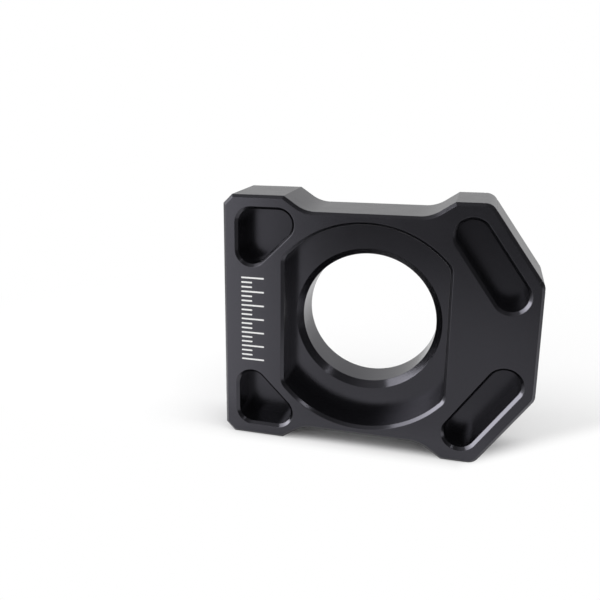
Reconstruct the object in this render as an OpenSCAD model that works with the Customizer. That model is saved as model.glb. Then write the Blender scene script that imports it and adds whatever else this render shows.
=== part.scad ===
// Chain adjuster block for a motorcycle's rear axle.
// One piece, milled from bar. It is drawn lying on its plain back face and stood up at the end:
// origin on the axle bore's axis, half way through the block, +X to the pointed end, +Z up,
// the recessed front face towards -Y.

/* [Block] */
// Height across the feet
block_height = 52.8; // [50.4:0.2:60]
// Axle centre to the square end
square_end_reach = 29.6; // [26:0.2:36]
// Axle centre to the flat of the pointed end
pointed_end_reach = 33.6; // [31:0.2:40]
// Thickness from back face to front face
block_thickness = 15.8; // [12:0.2:20]
// Axle centre to the corner where a foot turns into the slanting side
foot_reach = 23.2; // [21:0.1:26]
// Height of the flat at the pointed end
point_flat_height = 22.8; // [16:0.2:30]
// 45 degree cut on the corners of the square end
square_corner_cut = 1.9; // [0.6:0.1:4]
// Radius on the corners of the slanting sides
corner_radius = 2.4; // [1.4:0.1:4]
// Bevel on all outer edges and on the rims of recess, pockets and slots
edge_bevel = 0.6; // [0.2:0.1:0.8]

/* [Waist] */
// Wall left between the recess and the floor of the waist
waist_wall = 1.5; // [1.2:0.1:2.6]
// Length of the waist where it leaves the feet
waist_length = 33.4; // [26:0.2:36]
// Slope of the ramps up to the feet, in degrees
waist_ramp_angle = 34; // [25:1:50]
// Radius between waist floor and ramp
waist_radius = 7; // [3:0.5:8]

/* [Axle bore and recess] */
// Diameter of the axle bore
bore_diameter = 28; // [20:0.5:30]
// Bevel at the mouth of the bore, in the floor of the recess
bore_mouth_bevel = 1.3; // [0.5:0.1:1.6]
// Diameter of the recess for the axle head
recess_diameter = 43.8; // [38:0.2:45]
// Distance between the two flats of the recess
recess_flats = 34.2; // [33.4:0.2:37]
// Radius of the recess's corners, from a flat into the round
recess_corner_radius = 2.5; // [1:0.1:5]
// Depth of the recess below the front face
recess_depth = 6.5; // [4:0.1:8]

/* [Corner pockets] */
// Land between a pocket and the square end
pocket_end_land = 2.55; // [1.8:0.05:4]
// Land between a pocket and the top or bottom of a foot
pocket_foot_land = 2.3; // [1.8:0.05:4]
// Land between a pocket and the recess
pocket_recess_land = 1.65; // [1.5:0.05:3]
// Radius of a pocket's corners, as the cutter leaves them
pocket_radius = 3; // [1.5:0.1:3.4]
// Depth of the pockets
pocket_depth = 6.5; // [3:0.1:9]

/* [Slots] */
// Land between a slot and the slanting side
slot_side_land = 2.4; // [1.8:0.05:4]
// Land between a slot and the recess
slot_recess_land = 2.4; // [2:0.05:4]
// Distance along the slanting side from the foot's corner to the slot's first centre
slot_start = 3.45; // [2:0.05:6]
// Distance along the slanting side from the slot's last centre to the pointed end's corner
slot_end = 1.3; // [0:0.05:6]
// Depth of the slots
slot_depth = 6.5; // [3:0.1:9]

/* [Hidden] */
$fn = 96;
// How far a cutter stands out of the face that it cuts
clear = 0.5;
// A round corner is cut this much deeper than its straight sides, so that the surfaces cross
// instead of only touching
blend = 0.01;
// How far a corner's cutter reaches past the corner's ends, in degrees, to run out of the sides
run_out = 10;
half_height = block_height / 2;
recess_radius = recess_diameter / 2;
bore_radius = bore_diameter / 2;
waist_level = recess_radius + waist_wall;
recess_floor = block_thickness - recess_depth;
point_corner = [pointed_end_reach, point_flat_height / 2];
foot_corner = [foot_reach, half_height];
// The outline, anticlockwise from the square end's upper corner
outline = [
    [-square_end_reach, half_height - square_corner_cut],
    [-square_end_reach, square_corner_cut - half_height],
    [square_corner_cut - square_end_reach, -half_height],
    [foot_corner.x, -foot_corner.y],
    [point_corner.x, -point_corner.y],
    point_corner,
    foot_corner,
    [square_corner_cut - square_end_reach, half_height]
];
// Those of its corners that get a radius
rounded = [3, 4, 5, 6];
// Direction and outward normal of the upper slanting side, and its distance from the axle
slant = (point_corner - foot_corner) / norm(point_corner - foot_corner);
slant_normal = [-slant.y, slant.x];
slant_distance = foot_corner * slant_normal;
// A slot's walls, without the rim bevel
slot_outer = slant_distance - slot_side_land - edge_bevel;
slot_inner = recess_radius + slot_recess_land + edge_bevel;
slot_radius = (slot_outer - slot_inner) / 2;
slot_line = (slot_outer + slot_inner) / 2;
slot_centres = [
    slot_line * slant_normal + (foot_corner * slant + slot_start) * slant,
    slot_line * slant_normal + (point_corner * slant - slot_end) * slant
];
// A pocket's walls meet in these sharp corners, without the rim bevel
pocket_left = pocket_end_land + edge_bevel - square_end_reach;
pocket_top = half_height - pocket_foot_land - edge_bevel;
pocket_slope = (recess_radius + pocket_recess_land + edge_bevel) * sqrt(2);
pocket_leg = pocket_top - pocket_left - pocket_slope;
pocket_corners = [
    [pocket_left, pocket_top],
    [pocket_left, pocket_left + pocket_slope],
    [pocket_top - pocket_slope, pocket_top]
];
// Radius of the largest circle that the pocket holds
pocket_inner_circle = pocket_leg * (1 - 1 / sqrt(2));
pocket_cutter = min(pocket_radius, 0.9 * pocket_inner_circle);
pocket_centres = round_centres(pocket_corners, pocket_cutter);
// The centre of the waist's right fillet, and the ramp from there to above the foot
ramp_rise = half_height - waist_level;
ramp_run = (ramp_rise - waist_radius * (1 - cos(waist_ramp_angle))) / tan(waist_ramp_angle);
waist_centre = [
    waist_length / 2 - ramp_run - waist_radius * sin(waist_ramp_angle),
    waist_level + waist_radius
];
ramp_start = waist_centre + waist_radius * [sin(waist_ramp_angle), -cos(waist_ramp_angle)];
ramp_length = (ramp_rise + edge_bevel + 2 * clear) / sin(waist_ramp_angle);
ramp_end = ramp_start + ramp_length * [cos(waist_ramp_angle), sin(waist_ramp_angle)];

function unit(v) = v / norm(v);
function right_of(v) = [v.y, -v.x];
function heading(v) = atan2(v.y, v.x);
// How far a path turns left at the corner b of a -> b -> c
function turn_at(a, b, c) = acos(unit(b - a) * unit(c - b));
// Centre of the radius r that touches both sides at the corner b of a -> b -> c
function round_centre(a, b, c, r) =
    let (n1 = right_of(unit(b - a)), n2 = right_of(unit(c - b)))
    b - r * (n1 + n2) / (1 + n1 * n2);
function round_centres(points, r) =
    let (n = len(points))
    [for (i = [0 : n - 1]) round_centre(points[(i + n - 1) % n], points[i], points[(i + 1) % n], r)];

// Bar along a -> b. Its section is drawn in (distance to the right of a -> b, height).
module bar_along(a, b, over = 0) {
    translate([a.x, a.y, 0])
        rotate(heading(b - a))
            translate([-over, 0, 0])
                rotate([90, 0, 90])
                    linear_extrude(norm(b - a) + 2 * over)
                        mirror([1, 0])
                            children();
}

// What an edge bevel takes off the front, seen along the edge. The side is at x = 0 and the
// solid at x < 0.
module bevel_section() {
    reach = edge_bevel + clear;
    translate([0, block_thickness])
        polygon([[-reach, clear], [clear, clear], [clear, -reach]]);
}

// The same, turned about an axis for a round hollow of radius r
module bevel_ring(r) {
    translate([0, 0, block_thickness - edge_bevel - clear])
        cylinder(h = edge_bevel + 2 * clear, r1 = r - clear, r2 = r + edge_bevel + clear);
}

// Front and back alike
module both_faces() {
    children();
    translate([0, 0, block_thickness])
        mirror([0, 0, 1])
            children();
}

// A blind cavity with round corners and a bevelled rim, cut from the front face. The centres of
// its corners stand anticlockwise: two make a slot, three or more a pocket.
module cavity(centres, r, depth) {
    count = len(centres);
    translate([0, 0, block_thickness - depth])
        linear_extrude(depth + clear) {
            for (i = [0 : count - 1]) {
                a = centres[i];
                b = centres[(i + 1) % count];
                out = r * right_of(unit(b - a));
                translate(a)
                    circle(r + blend);
                polygon([a, a + out, b + out, b]);
            }
            if (count > 2)
                polygon(centres);
        }
    for (i = [0 : count - 1]) {
        a = centres[i];
        b = centres[(i + 1) % count];
        out = r * right_of(unit(b - a));
        translate(a)
            bevel_ring(r + blend);
        bar_along(b + out, a + out)
            bevel_section();
    }
}

// The hollow between the two upper feet, with bevelled edges at back and front
module waist() {
    floor_end = [waist_centre.x, waist_level];
    translate([0, 0, -clear])
        linear_extrude(block_thickness + 2 * clear) {
            for (side = [1, -1])
                translate([side * waist_centre.x, waist_centre.y])
                    circle(waist_radius + blend);
            polygon([
                [-floor_end.x, floor_end.y], floor_end, ramp_start, ramp_end,
                [-ramp_end.x, ramp_end.y], [-ramp_start.x, ramp_start.y]
            ]);
        }
    both_faces() {
        bar_along(floor_end, [-floor_end.x, floor_end.y])
            bevel_section();
        for (side = [0, 1])
            mirror([side, 0, 0]) {
                bar_along(ramp_end, ramp_start)
                    bevel_section();
                translate(waist_centre)
                    bevel_ring(waist_radius + blend);
            }
    }
}

// What the radius r takes off the corner b of a -> b -> c, with the bevels on it
module corner_cut(a, b, c, r) {
    centre = round_centre(a, b, c, r);
    turn = turn_at(a, b, c);
    inner = r - blend - edge_bevel - clear;
    outer = r / cos(turn / 2) + clear;
    high = block_thickness + clear;
    translate(centre)
        rotate(heading(right_of(b - a)) - run_out)
            rotate_extrude(angle = turn + 2 * run_out)
                polygon([
                    [inner, -clear], [outer, -clear], [outer, high], [inner, high],
                    [r - blend, block_thickness - edge_bevel], [r - blend, edge_bevel]
                ]);
}

// The solid outline with bevelled edges and round corners
module blank() {
    count = len(outline);
    difference() {
        linear_extrude(block_thickness)
            polygon(outline);
        for (i = [0 : count - 1])
            both_faces()
                bar_along(outline[i], outline[(i + 1) % count], 2 * clear)
                    bevel_section();
        for (i = rounded)
            corner_cut(outline[i - 1], outline[i], outline[i + 1], corner_radius);
    }
}

// The upper and the lower part of the recess's outline where it is round, widened outwards
module recess_rounds(corner) {
    far = recess_diameter;
    other = [-corner.x, corner.y];
    for (side = [0, 1])
        mirror([0, side])
            polygon([corner / 2, far * unit(corner), [0, 2 * far], far * unit(other), other / 2]);
}

// The recess that keeps the axle head from turning: a round hollow with two flats and a radius
// at each of the four corners between them
module recess() {
    r = recess_radius - edge_bevel;
    side = recess_flats / 2 - edge_bevel;
    corner_x = side - recess_corner_radius;
    corner = [corner_x, sqrt(pow(r - recess_corner_radius, 2) - pow(corner_x, 2))];
    corners = [for (x = [-1, 1], y = [-1, 1]) [x * corner.x, y * corner.y]];
    translate([0, 0, recess_floor])
        linear_extrude(recess_depth + clear) {
            intersection() {
                circle(r);
                recess_rounds(corner);
            }
            square([2 * side, 2 * corner.y], center = true);
            for (c = corners)
                translate(c)
                    circle(recess_corner_radius + blend);
        }
    intersection() {
        bevel_ring(r);
        translate([0, 0, block_thickness - edge_bevel - 2 * clear])
            linear_extrude(edge_bevel + 4 * clear)
                recess_rounds(corner);
    }
    for (c = corners)
        translate(c)
            bevel_ring(recess_corner_radius + blend);
    for (s = [1, -1])
        bar_along([s * side, s * corner.y], [s * side, -s * corner.y])
            bevel_section();
}

// The axle bore with a wide bevel in the recess and an edge bevel at the back
module axle_bore() {
    translate([0, 0, -clear])
        cylinder(h = block_thickness, r = bore_radius);
    translate([0, 0, -clear])
        cylinder(
            h = edge_bevel + 2 * clear,
            r1 = bore_radius + edge_bevel + clear,
            r2 = bore_radius - clear
        );
    translate([0, 0, recess_floor - bore_mouth_bevel - clear])
        cylinder(
            h = bore_mouth_bevel + 2 * clear,
            r1 = bore_radius - clear,
            r2 = bore_radius + bore_mouth_bevel + clear
        );
}

module adjuster_block() {
    color([0.19, 0.19, 0.2])
        rotate([90, 0, 0])
            translate([0, 0, -block_thickness / 2])
                difference() {
                    blank();
                    for (side = [0, 1])
                        mirror([0, side, 0]) {
                            if (ramp_rise > edge_bevel)
                                waist();
                            if (slot_radius > edge_bevel)
                                cavity(slot_centres, slot_radius, slot_depth);
                            if (pocket_inner_circle > 2 * edge_bevel)
                                cavity(pocket_centres, pocket_cutter, pocket_depth);
                        }
                    recess();
                    axle_bore();
                }
}

adjuster_block();
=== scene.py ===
"""Finish, index marks, studio and camera for a motorcycle chain adjuster block.

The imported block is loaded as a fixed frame. Everything here is in metres in that frame:
the axle bore runs along Y, the recess opens towards -Y and the feet stand at the lowest Z.
"""

import math

import bpy
from mathutils import Euler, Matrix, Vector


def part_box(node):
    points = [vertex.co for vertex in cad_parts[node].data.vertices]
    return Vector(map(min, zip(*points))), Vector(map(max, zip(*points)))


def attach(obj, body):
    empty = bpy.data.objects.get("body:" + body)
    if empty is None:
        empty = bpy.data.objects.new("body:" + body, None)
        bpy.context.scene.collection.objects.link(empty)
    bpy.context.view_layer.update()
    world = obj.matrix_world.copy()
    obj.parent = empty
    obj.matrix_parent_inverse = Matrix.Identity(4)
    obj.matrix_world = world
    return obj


bl_info = {
    "name": "Chain Adjuster Block Finish",
    "version": (1, 0, 0),
    "blender": (4, 5, 0),
    "location": "3D View > Sidebar > Adjuster",
    "description": "Anodised finish, index marks, studio and camera for a chain adjuster block",
    "category": "Object",
}

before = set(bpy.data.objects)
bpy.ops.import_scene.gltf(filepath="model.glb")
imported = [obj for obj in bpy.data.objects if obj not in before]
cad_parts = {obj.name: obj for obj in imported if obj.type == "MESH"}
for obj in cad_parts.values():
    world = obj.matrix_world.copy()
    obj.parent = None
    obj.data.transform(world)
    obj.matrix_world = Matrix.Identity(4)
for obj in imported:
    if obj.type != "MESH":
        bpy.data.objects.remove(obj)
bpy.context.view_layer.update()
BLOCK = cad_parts["adjuster_block"]
BLOCK_LOW, BLOCK_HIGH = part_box("adjuster_block")
FRONT = BLOCK_LOW.y
MM = 0.001
FULL_TURN = 2.0 * math.pi

# Zones of the finish, from the bore axis. Each limit lies on the land round its hollow, and the
# recess goes first where two zones overlap.
RECESS_ZONE_RADIUS = 22.2 * MM
RECESS_ZONE_HALF_WIDTH = 17.4 * MM
BORE_ZONE_RADIUS = 15.4 * MM
SLOT_ZONE_X = (15.0 * MM, BLOCK_HIGH.x - 1.0 * MM)
SLOT_ZONE_ACROSS = (24.2 * MM, 31.9 * MM)
SLOT_ZONE_HALF_HEIGHT = BLOCK_HIGH.z - 1.4 * MM
POCKET_ZONE_X = (BLOCK_LOW.x + 2.0 * MM, -14.0 * MM)
POCKET_ZONE_HALF_HEIGHT = BLOCK_HIGH.z - 2.0 * MM
# Outward direction of the upper slanting side, in X and Z.
SLANT_NORMAL = (0.822, 0.570)

# Depths from the front face, and how near to a hollow's floor its corner stays sharp.
FACE_SKIN = 0.05 * MM
RIM_BEVEL_DEPTH = 0.65 * MM
HOLLOW_DEPTH = 6.5 * MM
HOLLOW_ZONE_DEPTH = HOLLOW_DEPTH + 0.2 * MM
FLOOR_CORNER = (0.12 * MM, 0.25 * MM)

# Sizes of the patches in the dye, and how far and in what patches the turning marks wander.
CLOUD_SIZE = 7.0 * MM
SMUDGE_SIZE = 2.2 * MM
WANDER_SIZE = 1.1 * MM
WANDER = 0.05 * MM
# One minus the cosine of the turn at which an edge starts to show, and at which it shows fully.
EDGE_TURN = (0.01, 0.16)
OXIDE_IOR = 1.76

# The laser's parallel passes and the specks that it leaves.
PASS_PITCH = 0.06 * MM
PASS_HEIGHT = 0.001 * MM
SPECK_SIZE = 0.12 * MM
SPECK_HEIGHT = 0.004 * MM
BETWEEN_PASSES = (0.45, 0.45, 0.46, 1.0)
# Share of that darker colour everywhere, in the specks and between the passes.
LEAST_SHADE = 0.10
SPECK_SHADE = 0.25
PASS_SHADE = 0.06
SPECK_ROUGHNESS = 0.12
BLEACHED_IOR = 1.5
# A line's end is rounded by a hair less than half its width, with so many points to a corner,
# and one line in so many is long.
ROUND_END_SHARE = 0.499
ROUND_END_POINTS = 5
LONG_EVERY = 3.0
MERGE_DISTANCE = 1e-7

# Stretches over which the floor turns plain white: away from the bore axis, in front of the
# block, and in front of it as the camera sees it, where the white comes sooner at the right.
WHITE_ROUND = (0.05, 0.16)
WHITE_IN_FRONT = (0.009, 0.028)
WHITE_TO_CAMERA = (0.004, 0.0125)
RIGHT_LEADS_FROM = 0.020
RIGHT_LEAD = 0.9
# Painted reflection: in the block's gloss the floor glows at painted levels instead of showing its
# own colour. Stretches of that glow: where it starts, darkens to the front and dims to the right.
PAINTED_REFLECTION_START = (0.010, 0.030)
PAINTED_REFLECTION_DARKENS = (0.07, 0.22)
PAINTED_REFLECTION_DIMS = (0.03, 0.07)
# The line left of which that glow is brighter, as a painted pool of light, and its blur. The
# slopes are per metre to the front.
LIT_LINE = -0.024
LIT_LINE_SLOPE = -0.29
LIT_BLUR = 0.022
LIT_BLUR_SLOPE = 0.09

# Stretches of the room as the gloss shows it, each along one axis of a direction of length 1.
ROOM_BEHIND = (-0.25, 0.35)
ROOM_ABOVE = (0.30, 0.80)
ROOM_LEFT = (0.24, 0.42)
WALLS_DIM = (0.30, 0.80)
CEILING_DIMS = (-0.30, 0.25)

# The camera's frame width in millimetres, and the distances between which it sees.
SENSOR_WIDTH = 36.0
CLIP_NEAR = 0.005
CLIP_FAR = 50.0


class Wire:
    """One output of a node, on which sums can be written as plain expressions."""

    def __init__(self, graph, socket):
        self.graph = graph
        self.socket = socket

    def _math(self, operation, *values):
        return self.graph.add("ShaderNodeMath", {"operation": operation}, values)["Value"]

    def __add__(self, other):
        return self._math("ADD", self, other)

    def __radd__(self, other):
        return self._math("ADD", other, self)

    def __sub__(self, other):
        return self._math("SUBTRACT", self, other)

    def __rsub__(self, other):
        return self._math("SUBTRACT", other, self)

    def __mul__(self, other):
        return self._math("MULTIPLY", self, other)

    def __rmul__(self, other):
        return self._math("MULTIPLY", other, self)

    def __truediv__(self, other):
        return self._math("DIVIDE", self, other)

    def __pow__(self, other):
        return self._math("POWER", self, other)

    def __lt__(self, other):
        return self._math("LESS_THAN", self, other)

    def __gt__(self, other):
        return self._math("GREATER_THAN", self, other)

    def size(self):
        """The value without its sign."""
        return self._math("ABSOLUTE", self)

    def sine(self):
        """The sine of the value, in radians."""
        return self._math("SINE", self)

    def most(self, other):
        """The larger of the two."""
        return self._math("MAXIMUM", self, other)

    def least(self, other):
        """The smaller of the two."""
        return self._math("MINIMUM", self, other)

    def between(self, low, high):
        """1 between low and high, and 0 elsewhere."""
        return (self > low) * (self < high)

    def step(self, low, high):
        """0 below low and 1 above high, with a smooth change between them."""
        settings = {"interpolation_type": "SMOOTHSTEP"}
        values = {"Value": self, "From Min": low, "From Max": high}
        return self.graph.add("ShaderNodeMapRange", settings, values)["Result"]


class Graph:
    """A node tree that is written line by line."""

    def __init__(self, tree):
        self.tree = tree
        self.tree.nodes.clear()

    def add(self, kind, settings=None, values=()):
        """Adds a node: its settings first, then values or links for its sockets.

        The values are named, or stand in the order of the sockets in use.
        Returns the node's outputs by name.
        """
        node = self.tree.nodes.new(kind)
        for name, value in (settings or {}).items():
            setattr(node, name, value)
        if isinstance(values, dict):
            pairs = [(node.inputs[name], value) for name, value in values.items()]
        else:
            pairs = zip([socket for socket in node.inputs if socket.enabled], values)
        for socket, value in pairs:
            self._feed(socket, value)
        return {out.name: Wire(self, out) for out in reversed(node.outputs) if out.enabled}

    def _feed(self, socket, value):
        if isinstance(value, Wire):
            self.tree.links.new(value.socket, socket)
        elif socket.is_multi_input:
            for wire in reversed(value):
                self._feed(socket, wire)
        else:
            socket.default_value = value

    def blend(self, share, first, second):
        """A colour that goes from first to second as share goes from 0 to 1."""
        settings = {"data_type": "RGBA", "blend_type": "MIX"}
        return self.add("ShaderNodeMix", settings, [share, first, second])["Result"]

    def noise(self, place, size, detail=2.0, warp=0.0):
        """Soft noise from 0 to 1, with patches of the given size."""
        values = {"Vector": place, "Scale": 1.0 / size, "Detail": detail, "Distortion": warp}
        return self.add("ShaderNodeTexNoise", {"noise_dimensions": "3D"}, values)["Fac"]

    def vector(self, *values):
        """A vector from its three parts."""
        return self.add("ShaderNodeCombineXYZ", values=values)["Vector"]

    def place(self, coordinates="Object"):
        """The shaded point, or in a world the direction looked in, and its X, Y and Z."""
        point = self.add("ShaderNodeTexCoord")[coordinates]
        axes = self.add("ShaderNodeSeparateXYZ", values=[point])
        return point, axes["X"], axes["Y"], axes["Z"]

    def rays(self):
        """Masks of the camera's own rays, and of those that gloss or glass sends on."""
        path = self.add("ShaderNodeLightPath")
        return path["Is Camera Ray"], path["Is Glossy Ray"].most(path["Is Transmission Ray"])


def mix(share, first, second):
    """A number that goes from first to second as share goes from 0 to 1."""
    return first + share * (second - first)


def new_material(name):
    """A fresh material with an empty tree, and the graph to write it with."""
    material = bpy.data.materials.new(name)
    material.use_nodes = True
    return material, Graph(material.node_tree)


def flat_colour(colour):
    """A colour property as the four numbers that a socket takes."""
    return (colour[0], colour[1], colour[2], 1.0)


class AdjusterFinish(bpy.types.PropertyGroup):
    """Black satin anodising over milled aluminium."""

    dye: bpy.props.FloatVectorProperty(
        name="Dye",
        description="Colour of the dyed oxide layer",
        subtype="COLOR",
        size=3,
        min=0.0,
        max=1.0,
        default=(0.0028, 0.0028, 0.0033),
    )
    sheen: bpy.props.FloatVectorProperty(
        name="Sheen",
        description="Tint of what the face mirrors straight on",
        subtype="COLOR",
        size=3,
        min=0.0,
        max=1.0,
        default=(0.885, 0.870, 1.0),
    )
    # Painted shade: a darker copy of the sheen, used in the corner pockets and the slots so that
    # they render darker, as if in shade.
    hollow_painted_shade: bpy.props.FloatVectorProperty(
        name="Hollow sheen",
        description="The same tint in the corner pockets and the slots, which mirror less",
        subtype="COLOR",
        size=3,
        min=0.0,
        max=1.0,
        default=(0.65, 0.64, 0.74),
    )
    thin_dye: bpy.props.FloatVectorProperty(
        name="Thin dye",
        description="Colour where the layer is thinner, on edges and handled spots",
        subtype="COLOR",
        size=3,
        min=0.0,
        max=1.0,
        default=(0.0060, 0.0060, 0.0064),
    )
    roughness: bpy.props.FloatProperty(
        name="Roughness",
        description="Roughness of the satin outside",
        subtype="FACTOR",
        min=0.0,
        max=1.0,
        default=0.24,
    )
    cut_roughness: bpy.props.FloatProperty(
        name="Cut roughness",
        description="Roughness in the recess, in the bore and on the bevels round the hollows",
        subtype="FACTOR",
        min=0.0,
        max=1.0,
        default=0.16,
    )
    hollow_roughness: bpy.props.FloatProperty(
        name="Hollow roughness",
        description="Roughness in the corner pockets and the slots",
        subtype="FACTOR",
        min=0.0,
        max=1.0,
        default=0.23,
    )
    edge_width: bpy.props.FloatProperty(
        name="Edge width",
        description="Width over which an edge is lighter and rounder",
        unit="LENGTH",
        subtype="DISTANCE",
        min=0.0,
        default=0.12 * MM,
    )
    grain_size: bpy.props.FloatProperty(
        name="Grain size",
        description="Size of the pits that bead blasting leaves",
        unit="LENGTH",
        subtype="DISTANCE",
        min=0.01 * MM,
        default=0.09 * MM,
    )
    grain_depth: bpy.props.FloatProperty(
        name="Grain depth",
        description="Depth of those pits",
        unit="LENGTH",
        subtype="DISTANCE",
        min=0.0,
        default=0.0025 * MM,
    )
    cutter_pitch: bpy.props.FloatProperty(
        name="Cutter pitch",
        description="Distance between the turning marks in the recess and the bore",
        unit="LENGTH",
        subtype="DISTANCE",
        min=0.02 * MM,
        default=0.16 * MM,
    )
    cutter_depth: bpy.props.FloatProperty(
        name="Cutter depth",
        description="Depth of the turning marks",
        unit="LENGTH",
        subtype="DISTANCE",
        min=0.0,
        default=0.0015 * MM,
    )
    edge_thinning: bpy.props.FloatProperty(
        name="Edge thinning",
        description="Share of the thin dye on an edge, before the smudges add to it",
        subtype="FACTOR",
        min=0.0,
        max=1.0,
        default=0.35,
    )
    cloud_thinning: bpy.props.FloatProperty(
        name="Cloud thinning",
        description="Share of the thin dye that comes and goes in large clouds",
        subtype="FACTOR",
        min=0.0,
        max=1.0,
        default=0.30,
    )
    cloud_roughness: bpy.props.FloatProperty(
        name="Cloud roughness",
        description="How much the roughness differs from cloud to cloud",
        subtype="FACTOR",
        min=0.0,
        max=1.0,
        default=0.07,
    )
    smudge_roughness: bpy.props.FloatProperty(
        name="Smudge roughness",
        description="How much the roughness differs from smudge to smudge",
        subtype="FACTOR",
        min=0.0,
        max=1.0,
        default=0.05,
    )
    edge_polish: bpy.props.FloatProperty(
        name="Edge polish",
        description="How much smoother an edge is than the face beside it",
        subtype="FACTOR",
        min=0.0,
        max=1.0,
        default=0.05,
    )


class AdjusterMarks(bpy.types.PropertyGroup):
    """Laser-marked graduation between the pockets at the square end."""

    centre_x: bpy.props.FloatProperty(
        name="Centre along the block",
        description="Middle of the scale, from the bore axis",
        unit="LENGTH",
        subtype="DISTANCE",
        default=-23.2 * MM,
    )
    count: bpy.props.IntProperty(
        name="Count",
        description="Number of graduation lines",
        min=3,
        max=61,
        default=19,
    )
    pitch: bpy.props.FloatProperty(
        name="Pitch",
        description="Distance between lines",
        unit="LENGTH",
        subtype="DISTANCE",
        min=0.2 * MM,
        default=1.0 * MM,
    )
    short_line: bpy.props.FloatProperty(
        name="Short line",
        description="Length of an ordinary line",
        unit="LENGTH",
        subtype="DISTANCE",
        min=0.2 * MM,
        default=2.4 * MM,
    )
    long_line: bpy.props.FloatProperty(
        name="Long line",
        description="Length of every third line",
        unit="LENGTH",
        subtype="DISTANCE",
        min=0.2 * MM,
        default=5.0 * MM,
    )
    line_width: bpy.props.FloatProperty(
        name="Line width",
        description="Width of a line",
        unit="LENGTH",
        subtype="DISTANCE",
        min=0.05 * MM,
        default=0.34 * MM,
    )
    skin: bpy.props.FloatProperty(
        name="Skin",
        description="How far the bleached layer stands proud of the face",
        unit="LENGTH",
        subtype="DISTANCE",
        min=0.001 * MM,
        default=0.008 * MM,
    )
    colour: bpy.props.FloatVectorProperty(
        name="Colour",
        description="Colour of the bleached oxide",
        subtype="COLOR",
        size=3,
        min=0.0,
        max=1.0,
        default=(0.86, 0.86, 0.85),
    )
    roughness: bpy.props.FloatProperty(
        name="Roughness",
        description="Least roughness of the bleached oxide",
        subtype="FACTOR",
        min=0.0,
        max=1.0,
        default=0.62,
    )


class AdjusterStage(bpy.types.PropertyGroup):
    """Pale floor, white surroundings and soft boxes."""

    floor_colour: bpy.props.FloatVectorProperty(
        name="Floor colour",
        description="Colour of the floor",
        subtype="COLOR",
        size=3,
        min=0.0,
        max=1.0,
        default=(0.94, 0.94, 0.94),
    )
    floor_size: bpy.props.FloatProperty(
        name="Floor size",
        description="Side of the square floor",
        unit="LENGTH",
        subtype="DISTANCE",
        min=0.5,
        default=6.0,
    )
    room_light: bpy.props.FloatProperty(
        name="Room light",
        description="Strength of the white surroundings on matt surfaces",
        min=0.0,
        default=0.96,
    )
    room_behind: bpy.props.FloatProperty(
        name="Room behind",
        description="How bright the room and the floor behind the block are in its gloss",
        min=0.0,
        default=0.66,
    )
    room_above: bpy.props.FloatProperty(
        name="Room above",
        description="How bright the ceiling is in the block's gloss",
        min=0.0,
        default=0.40,
    )
    right_share: bpy.props.FloatProperty(
        name="Share at the right",
        description="Share of its brightness that the right of the room keeps in the gloss",
        subtype="FACTOR",
        min=0.0,
        max=1.0,
        default=0.4,
    )
    room_left: bpy.props.FloatProperty(
        name="Room at the left",
        description="How bright the left of the room in front is in the block's gloss",
        min=0.0,
        default=1.5,
    )
    wall_left: bpy.props.FloatProperty(
        name="Wall at the left",
        description="How bright the lit wall at the front left is in the block's gloss",
        min=0.0,
        default=3.8,
    )
    # Painted reflection: levels at which the floor glows in the block's gloss, right in front of
    # the block and far off.
    reflected_floor_near: bpy.props.FloatProperty(
        name="Table nearby",
        description="How bright the table right in front of the block is in its gloss",
        min=0.0,
        default=0.58,
    )
    reflected_floor_far: bpy.props.FloatProperty(
        name="Table far off",
        description="How bright the table under the camera is in the block's gloss",
        min=0.0,
        default=0.20,
    )
    left_power: bpy.props.FloatProperty(
        name="Left soft box",
        description="Power of the long soft box at the left",
        unit="POWER",
        min=0.0,
        default=0.74,
    )
    left_place: bpy.props.FloatVectorProperty(
        name="Left soft box place",
        description="Middle of the soft box at the left, from the middle of the bore",
        unit="LENGTH",
        subtype="TRANSLATION",
        size=3,
        default=(-0.384, -0.121, 0.201),
    )
    left_size: bpy.props.FloatVectorProperty(
        name="Left soft box size",
        description="Width and length of the soft box at the left",
        unit="LENGTH",
        subtype="XYZ_LENGTH",
        size=2,
        default=(0.18, 0.50),
    )
    left_lean: bpy.props.FloatProperty(
        name="Left soft box lean",
        description="How far the soft box leans over, seen from the block",
        subtype="ANGLE",
        default=math.radians(-25.0),
    )
    right_power: bpy.props.FloatProperty(
        name="Right lamp",
        description="Power of the small lamp at the right",
        unit="POWER",
        min=0.0,
        default=0.028,
    )
    right_place: bpy.props.FloatVectorProperty(
        name="Right lamp place",
        description="Middle of the small lamp at the right, from the middle of the bore",
        unit="LENGTH",
        subtype="TRANSLATION",
        size=3,
        default=(0.258, -0.244, 0.352),
    )
    right_size: bpy.props.FloatVectorProperty(
        name="Right lamp size",
        description="Width and length of the small lamp at the right",
        unit="LENGTH",
        subtype="XYZ_LENGTH",
        size=2,
        default=(0.04, 0.04),
    )


class AdjusterCamera(bpy.types.PropertyGroup):
    """The product photo's viewpoint."""

    place: bpy.props.FloatVectorProperty(
        name="Place",
        description="Where the lens is, from the middle of the bore",
        unit="LENGTH",
        subtype="TRANSLATION",
        size=3,
        default=(0.022508, -0.149437, 0.046907),
    )
    tilt: bpy.props.FloatProperty(
        name="Tilt",
        description="Angle from looking straight down",
        subtype="ANGLE",
        default=math.radians(75.62),
    )
    turn: bpy.props.FloatProperty(
        name="Turn",
        description="Turn about the vertical",
        subtype="ANGLE",
        default=math.radians(18.60),
    )
    roll: bpy.props.FloatProperty(
        name="Roll",
        description="Turn about the line of sight",
        subtype="ANGLE",
        default=-0.0095,
    )
    lens: bpy.props.FloatProperty(
        name="Lens",
        description="Focal length on a 36 mm frame, in millimetres",
        subtype="DISTANCE_CAMERA",
        min=10.0,
        default=44.113,
    )
    shift: bpy.props.FloatVectorProperty(
        name="Shift",
        description="Shift of the frame, as the photo is cropped",
        size=2,
        default=(0.0937, -0.0347),
    )


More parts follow.
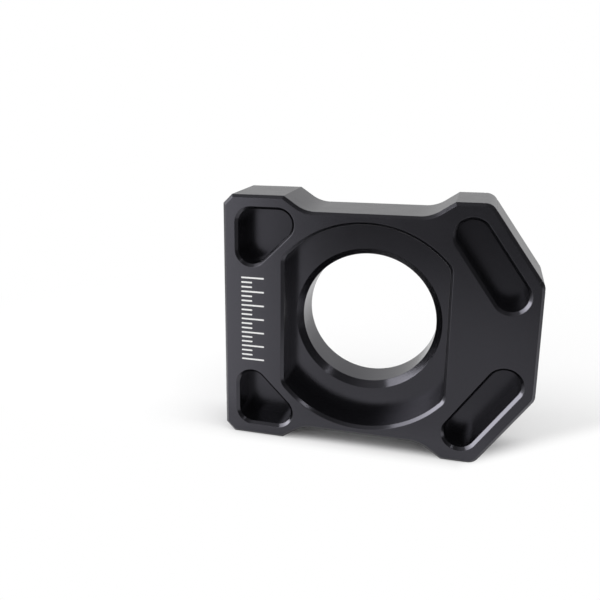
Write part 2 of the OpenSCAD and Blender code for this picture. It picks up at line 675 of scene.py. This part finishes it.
def hollow_zones(x, y, z, radius):
    """Masks of the recess with its bore, of the bore alone, and of the blind pockets and slots."""
    inside = y.size() < -FRONT - FACE_SKIN
    in_recess = (radius < RECESS_ZONE_RADIUS) * (x.size() < RECESS_ZONE_HALF_WIDTH) * inside
    in_bore = (radius < BORE_ZONE_RADIUS) * in_recess
    across = x * SLANT_NORMAL[0] + z.size() * SLANT_NORMAL[1]
    in_slot = across.between(*SLOT_ZONE_ACROSS) * x.between(*SLOT_ZONE_X)
    in_slot = in_slot * (z.size() < SLOT_ZONE_HALF_HEIGHT)
    in_pocket = x.between(*POCKET_ZONE_X) * (z.size() < POCKET_ZONE_HALF_HEIGHT)
    above_floor = inside * (y < FRONT + HOLLOW_ZONE_DEPTH)
    blind = in_slot.most(in_pocket) * above_floor * (1.0 - in_recess)
    return in_recess, in_bore, blind


def turning_marks(finish, radius, y, uneven, in_recess, in_bore):
    """Rings on the recess's floor and along the bore, from -1 to 1."""
    rate = FULL_TURN / finish.cutter_pitch
    across_floor = ((radius + uneven * WANDER) * rate).sine()
    along_bore = ((y + uneven * WANDER) * rate).sine()
    return across_floor * in_recess * (1.0 - in_bore) + along_bore * in_bore


def anodised_material(finish):
    """Black dyed oxide on bead-blasted aluminium, with turning marks where a boring head went."""
    material, g = new_material("satin_black_anodising")
    place, x, y, z = g.place()
    radius = (x * x + z * z) ** 0.5
    in_recess, in_bore, blind = hollow_zones(x, y, z, radius)
    cut = in_recess.most(blind)
    # This mask also picks the darker copy of the oxide below, which paints shade into the pockets
    # and slots.
    hollow = blind * (y > FRONT + RIM_BEVEL_DEPTH)

    grain = g.noise(place, finish.grain_size, detail=1.0)
    cloud = g.noise(place, CLOUD_SIZE, detail=3.0)
    smudge = g.noise(place, SMUDGE_SIZE, detail=4.0, warp=0.6)
    uneven = g.noise(place, WANDER_SIZE)
    rings = turning_marks(finish, radius, y, uneven, in_recess, in_bore)
    height = grain * finish.grain_depth + rings * (0.5 * finish.cutter_depth)

    off_floor = (y - FRONT - HOLLOW_DEPTH).size().step(*FLOOR_CORNER)
    reach = off_floor * finish.edge_width
    soft_normal = g.add("ShaderNodeBevel", {"samples": 6}, {"Radius": reach})["Normal"]
    true_normal = g.add("ShaderNodeNewGeometry")["True Normal"]
    settings = {"operation": "DOT_PRODUCT"}
    facing = g.add("ShaderNodeVectorMath", settings, [soft_normal, true_normal])["Value"]
    edge = (1.0 - facing).step(*EDGE_TURN)

    thin = edge * (finish.edge_thinning + smudge) + (cloud - 0.5) * finish.cloud_thinning
    thin = thin.most(0.0).least(1.0)
    colour = g.blend(thin, flat_colour(finish.dye), flat_colour(finish.thin_dye))
    satin = mix(cut, finish.roughness, finish.cut_roughness)
    satin = satin + hollow * (finish.hollow_roughness - finish.cut_roughness)
    patches = (cloud - 0.5) * finish.cloud_roughness + (smudge - 0.5) * finish.smudge_roughness
    rough = satin + patches - edge * finish.edge_polish
    values = {"Strength": 1.0, "Distance": 1.0, "Height": height, "Normal": soft_normal}
    bump = g.add("ShaderNodeBump", values=values)["Normal"]

    def oxide(sheen):
        values = {
            "Base Color": colour,
            "Metallic": 0.0,
            "Roughness": rough,
            "IOR": OXIDE_IOR,
            "Specular Tint": flat_colour(sheen),
            "Normal": bump,
        }
        return g.add("ShaderNodeBsdfPrincipled", values=values)["BSDF"]

    # Lit and shaded copies of the oxide: the second one, with the darker tint, paints shade into
    # the pockets and slots.
    layers = [hollow, oxide(finish.sheen), oxide(finish.hollow_painted_shade)]
    shader = g.add("ShaderNodeMixShader", values=layers)["Shader"]
    g.add("ShaderNodeOutputMaterial", values={"Surface": shader})
    return material


def bleached_material(marks):
    """Dye burnt out of the oxide by a laser, in close parallel passes."""
    material, g = new_material("laser_bleached_oxide")
    place, _, _, z = g.place()
    speck = g.noise(place, SPECK_SIZE)
    passes = (z * (FULL_TURN / PASS_PITCH)).sine()
    shade = LEAST_SHADE + speck * SPECK_SHADE + passes * PASS_SHADE
    shade = shade.most(0.0).least(1.0)
    height = passes * PASS_HEIGHT + speck * SPECK_HEIGHT
    bump = g.add("ShaderNodeBump", values={"Strength": 1.0, "Distance": 1.0, "Height": height})
    values = {
        "Base Color": g.blend(shade, flat_colour(marks.colour), BETWEEN_PASSES),
        "Roughness": marks.roughness + speck * SPECK_ROUGHNESS,
        "IOR": BLEACHED_IOR,
        "Normal": bump["Normal"],
    }
    shader = g.add("ShaderNodeBsdfPrincipled", values=values)["BSDF"]
    g.add("ShaderNodeOutputMaterial", values={"Surface": shader})
    return material


def floor_material(stage):
    """Pale and matt by the block and plain white further off; to gloss rays it glows as a painted
    reflection, darker ahead, lit at the left and dimmer at the right.
    """
    material, g = new_material("pale_floor")
    _, x, y, _ = g.place()
    eye, shine = g.rays()
    ahead = y * -1.0

    far = ((x * x + y * y) ** 0.5).step(*WHITE_ROUND).most(ahead.step(*WHITE_IN_FRONT))
    lead = (x - RIGHT_LEADS_FROM).most(0.0) * RIGHT_LEAD
    bright = (ahead + lead).step(*WHITE_TO_CAMERA)
    # Painted reflection: past this start the floor glows to gloss rays at painted levels, darker
    # ahead, with a painted lit patch at the left and dimmer at the right.
    before = ahead.step(*PAINTED_REFLECTION_START)
    share = eye * far.most(bright) + shine * mix(before, far, 1.0)

    blur = LIT_BLUR + ahead * LIT_BLUR_SLOPE
    past_line = (x - (LIT_LINE + ahead * LIT_LINE_SLOPE)) / blur
    lit = 1.0 - past_line.step(-1.0, 1.0)
    painted_floor_reflection = mix(ahead.step(*PAINTED_REFLECTION_DARKENS), stage.reflected_floor_near, stage.reflected_floor_far)
    painted_floor_reflection = mix(lit, painted_floor_reflection, stage.room_left)
    painted_floor_reflection = painted_floor_reflection * mix(x.step(*PAINTED_REFLECTION_DIMS), 1.0, stage.right_share)
    strength = eye + shine * mix(before, stage.room_behind, painted_floor_reflection)

    pale = {"Color": flat_colour(stage.floor_colour)}
    matt = g.add("ShaderNodeBsdfDiffuse", values=pale)["BSDF"]
    white = g.add("ShaderNodeEmission", values={"Strength": strength})["Emission"]
    mixed = g.add("ShaderNodeMixShader", values=[share, matt, white])["Shader"]
    g.add("ShaderNodeOutputMaterial", values={"Surface": mixed})
    return material


def white_room(stage):
    """White to the eye; in the block's gloss dimmer above and in front, and lit at the left."""
    world = bpy.data.worlds.new("white_room")
    world.use_nodes = True
    g = Graph(world.node_tree)
    _, x, y, z = g.place("Generated")
    eye, shine = g.rays()

    left = (x * -1.0).step(*ROOM_LEFT)
    front = mix(left, stage.reflected_floor_far, stage.wall_left)
    walls = mix(y.step(*ROOM_BEHIND), front, stage.room_behind)
    walls = walls * mix(x.step(*WALLS_DIM), 1.0, stage.right_share)
    ceiling = stage.room_above * mix(x.step(*CEILING_DIMS), 1.0, stage.right_share)
    room = mix(z.step(*ROOM_ABOVE), walls, ceiling)
    strength = mix(eye, mix(shine, stage.room_light, room), 1.0)

    values = {"Color": (1.0, 1.0, 1.0, 1.0), "Strength": strength}
    white = g.add("ShaderNodeBackground", values=values)["Background"]
    g.add("ShaderNodeOutputWorld", values={"Surface": white})
    return world


def soft_box(name, place, size, power, lean=0.0):
    """A rectangular lamp that faces the block and leans over as a clock's hand does."""
    lamp = bpy.data.lights.new(name, "AREA")
    lamp.shape = "RECTANGLE"
    lamp.size = size[0]
    lamp.size_y = size[1]
    lamp.energy = power
    box = bpy.data.objects.new(name, lamp)
    bpy.context.scene.collection.objects.link(box)
    box.location = place
    facing = (-box.location).to_track_quat("-Z", "Y")
    box.rotation_mode = "QUATERNION"
    box.rotation_quaternion = facing @ Euler((0.0, 0.0, lean), "XYZ").to_quaternion()


def joined(g, parts):
    """Several geometries as one."""
    return g.add("GeometryNodeJoinGeometry", values={"Geometry": parts})["Geometry"]


def round_ended_line(g, length, width, skin):
    """A flat bar from X = 0 to its length, which stands skin proud of Y = 0 and sinks as deep."""
    bar = g.add(
        "GeometryNodeCurvePrimitiveQuadrilateral",
        {"mode": "RECTANGLE"},
        {"Width": length, "Height": width},
    )["Curve"]
    bar = g.add(
        "GeometryNodeFilletCurve",
        {"mode": "POLY"},
        {"Curve": bar, "Radius": width * ROUND_END_SHARE, "Count": ROUND_END_POINTS},
    )["Curve"]
    sheet = g.add("GeometryNodeFillCurve", {"mode": "NGONS"}, {"Curve": bar})["Mesh"]
    raised = g.add(
        "GeometryNodeExtrudeMesh",
        {"mode": "FACES"},
        {"Mesh": sheet, "Offset Scale": skin * 2.0, "Individual": False},
    )["Mesh"]
    under = g.add("GeometryNodeFlipFaces", values={"Mesh": sheet})["Mesh"]
    values = {
        "Geometry": joined(g, [raised, under]),
        "Translation": g.vector(length * 0.5, skin, 0.0),
        "Rotation": (math.radians(90.0), 0.0, 0.0),
    }
    return g.add("GeometryNodeTransform", values=values)["Geometry"]


def marks_tree(material):
    """Lines with round ends, one above another, of which every third one is long."""
    tree = bpy.data.node_groups.new("graduation_lines", "GeometryNodeTree")
    face = tree.interface
    face.new_socket("Geometry", in_out="INPUT", socket_type="NodeSocketGeometry")
    face.new_socket("Count", in_out="INPUT", socket_type="NodeSocketInt")
    for name in ("Pitch", "Short Line", "Long Line", "Line Width", "Skin", "Start X", "Face Y"):
        face.new_socket(name, in_out="INPUT", socket_type="NodeSocketFloat")
    face.new_socket("Geometry", in_out="OUTPUT", socket_type="NodeSocketGeometry")
    g = Graph(tree)
    given = g.add("NodeGroupInput")
    count, pitch = given["Count"], given["Pitch"]

    start = g.vector(given["Start X"], given["Face Y"], (count - 1.0) * pitch * -0.5)
    points = g.add(
        "GeometryNodeMeshLine",
        {"mode": "OFFSET"},
        {"Count": count, "Start Location": start, "Offset": g.vector(0.0, 0.0, pitch)},
    )["Mesh"]
    index = g.add("GeometryNodeInputIndex")["Index"]
    third = g.add("ShaderNodeMath", {"operation": "MODULO"}, [index, LONG_EVERY])["Value"] < 0.5
    lines = []
    for chosen, length in ((third, given["Long Line"]), (1.0 - third, given["Short Line"])):
        bar = round_ended_line(g, length, given["Line Width"], given["Skin"])
        values = {"Points": points, "Selection": chosen, "Instance": bar}
        lines.append(g.add("GeometryNodeInstanceOnPoints", values=values)["Instances"])
    real = g.add("GeometryNodeRealizeInstances", values={"Geometry": joined(g, lines)})
    values = {"Geometry": real["Geometry"], "Distance": MERGE_DISTANCE}
    merged = g.add("GeometryNodeMergeByDistance", values=values)["Geometry"]
    values = {"Geometry": merged, "Material": material}
    dressed = g.add("GeometryNodeSetMaterial", values=values)["Geometry"]
    g.add("NodeGroupOutput", values={"Geometry": dressed})
    return tree


def grown(name, tree, inputs):
    """Runs a geometry tree with its named inputs and keeps what it makes as one plain mesh."""
    seed_mesh = bpy.data.meshes.new(name + "_seed")
    seed = bpy.data.objects.new(name + "_seed", seed_mesh)
    bpy.context.scene.collection.objects.link(seed)
    modifier = seed.modifiers.new("Grow", "NODES")
    modifier.node_group = tree
    for item in tree.interface.items_tree:
        if item.in_out == "INPUT" and item.name in inputs:
            modifier[item.identifier] = inputs[item.name]
    depsgraph = bpy.context.evaluated_depsgraph_get()
    mesh = bpy.data.meshes.new_from_object(seed.evaluated_get(depsgraph), depsgraph=depsgraph)
    mesh.name = name
    bpy.data.objects.remove(seed)
    bpy.data.meshes.remove(seed_mesh)
    if not mesh.polygons:
        raise RuntimeError(f"the tree for {name} made no faces")
    piece = bpy.data.objects.new(name, mesh)
    bpy.context.scene.collection.objects.link(piece)
    return piece


class ADJUSTER_OT_finish(bpy.types.Operator):
    """Give the milled block its black satin anodising"""

    bl_idname = "adjuster.finish"
    bl_label = "Anodise Block"
    bl_options = {"REGISTER", "UNDO"}

    def execute(self, context):
        material = anodised_material(context.scene.adjuster_finish)
        slots = BLOCK.material_slots
        if not slots:
            raise RuntimeError("the block has no material slot")
        for slot in slots:
            slot.link = "OBJECT"
            slot.material = material
        return {"FINISHED"}


class ADJUSTER_OT_marks(bpy.types.Operator):
    """Mark the graduation between the two pockets at the square end"""

    bl_idname = "adjuster.marks"
    bl_label = "Mark Graduation"
    bl_options = {"REGISTER", "UNDO"}

    def execute(self, context):
        marks = context.scene.adjuster_marks
        inputs = {
            "Count": marks.count,
            "Pitch": marks.pitch,
            "Short Line": marks.short_line,
            "Long Line": marks.long_line,
            "Line Width": marks.line_width,
            "Skin": marks.skin,
            "Start X": marks.centre_x - 0.5 * marks.long_line,
            "Face Y": FRONT,
        }
        piece = grown("graduation_marks", marks_tree(bleached_material(marks)), inputs)
        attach(piece, "root")
        return {"FINISHED"}


class ADJUSTER_OT_stage(bpy.types.Operator):
    """Build the floor, the white surroundings and the soft boxes"""

    bl_idname = "adjuster.stage"
    bl_label = "Build Stage"
    bl_options = {"REGISTER", "UNDO"}

    def execute(self, context):
        stage = context.scene.adjuster_stage
        half = 0.5 * stage.floor_size
        corners = [(-half, -half), (half, -half), (half, half), (-half, half)]
        mesh = bpy.data.meshes.new("studio_floor")
        mesh.from_pydata([(x, y, BLOCK_LOW.z) for x, y in corners], [], [(0, 1, 2, 3)])
        mesh.materials.append(floor_material(stage))
        floor = bpy.data.objects.new("studio_floor", mesh)
        context.scene.collection.objects.link(floor)
        context.scene.world = white_room(stage)
        soft_box("left_box", stage.left_place, stage.left_size, stage.left_power, stage.left_lean)
        soft_box("right_lamp", stage.right_place, stage.right_size, stage.right_power)
        return {"FINISHED"}


class ADJUSTER_OT_camera(bpy.types.Operator):
    """Set the camera at the product photo's viewpoint"""

    bl_idname = "adjuster.camera"
    bl_label = "Set Camera"
    bl_options = {"REGISTER", "UNDO"}

    def execute(self, context):
        view = context.scene.adjuster_camera
        data = bpy.data.cameras.new("product_camera")
        data.sensor_width = SENSOR_WIDTH
        data.lens = view.lens
        data.shift_x = view.shift[0]
        data.shift_y = view.shift[1]
        data.clip_start = CLIP_NEAR
        data.clip_end = CLIP_FAR
        camera = bpy.data.objects.new("product_camera", data)
        context.scene.collection.objects.link(camera)
        facing = Euler((view.tilt, 0.0, view.turn), "XYZ").to_quaternion()
        rolled = facing @ Euler((0.0, 0.0, view.roll), "XYZ").to_quaternion()
        camera.location = view.place
        camera.rotation_mode = "QUATERNION"
        camera.rotation_quaternion = rolled
        context.scene.camera = camera
        context.scene.view_settings.view_transform = "Standard"
        return {"FINISHED"}


class ADJUSTER_PT_panel(bpy.types.Panel):
    """Lists the block's dressing steps and their sizes"""

    bl_label = "Chain Adjuster Block"
    bl_idname = "ADJUSTER_PT_panel"
    bl_space_type = "VIEW_3D"
    bl_region_type = "UI"
    bl_category = "Adjuster"

    def draw(self, context):
        layout = self.layout
        layout.use_property_split = True
        for kind, group_name, operator in STEPS:
            box = layout.box()
            group = getattr(context.scene, group_name)
            for name in kind.__annotations__:
                box.prop(group, name)
            box.operator(operator.bl_idname)


STEPS = (
    (AdjusterFinish, "adjuster_finish", ADJUSTER_OT_finish),
    (AdjusterMarks, "adjuster_marks", ADJUSTER_OT_marks),
    (AdjusterStage, "adjuster_stage", ADJUSTER_OT_stage),
    (AdjusterCamera, "adjuster_camera", ADJUSTER_OT_camera),
)


def register():
    for kind, group_name, operator in STEPS:
        bpy.utils.register_class(kind)
        setattr(bpy.types.Scene, group_name, bpy.props.PointerProperty(type=kind))
        bpy.utils.register_class(operator)
    bpy.utils.register_class(ADJUSTER_PT_panel)


def unregister():
    bpy.utils.unregister_class(ADJUSTER_PT_panel)
    for kind, group_name, operator in reversed(STEPS):
        bpy.utils.unregister_class(operator)
        delattr(bpy.types.Scene, group_name)
        bpy.utils.unregister_class(kind)


def main():
    register()
    bpy.ops.adjuster.finish()
    bpy.ops.adjuster.marks()
    bpy.ops.adjuster.stage()
    bpy.ops.adjuster.camera()


if __name__ == "__main__":
    main()
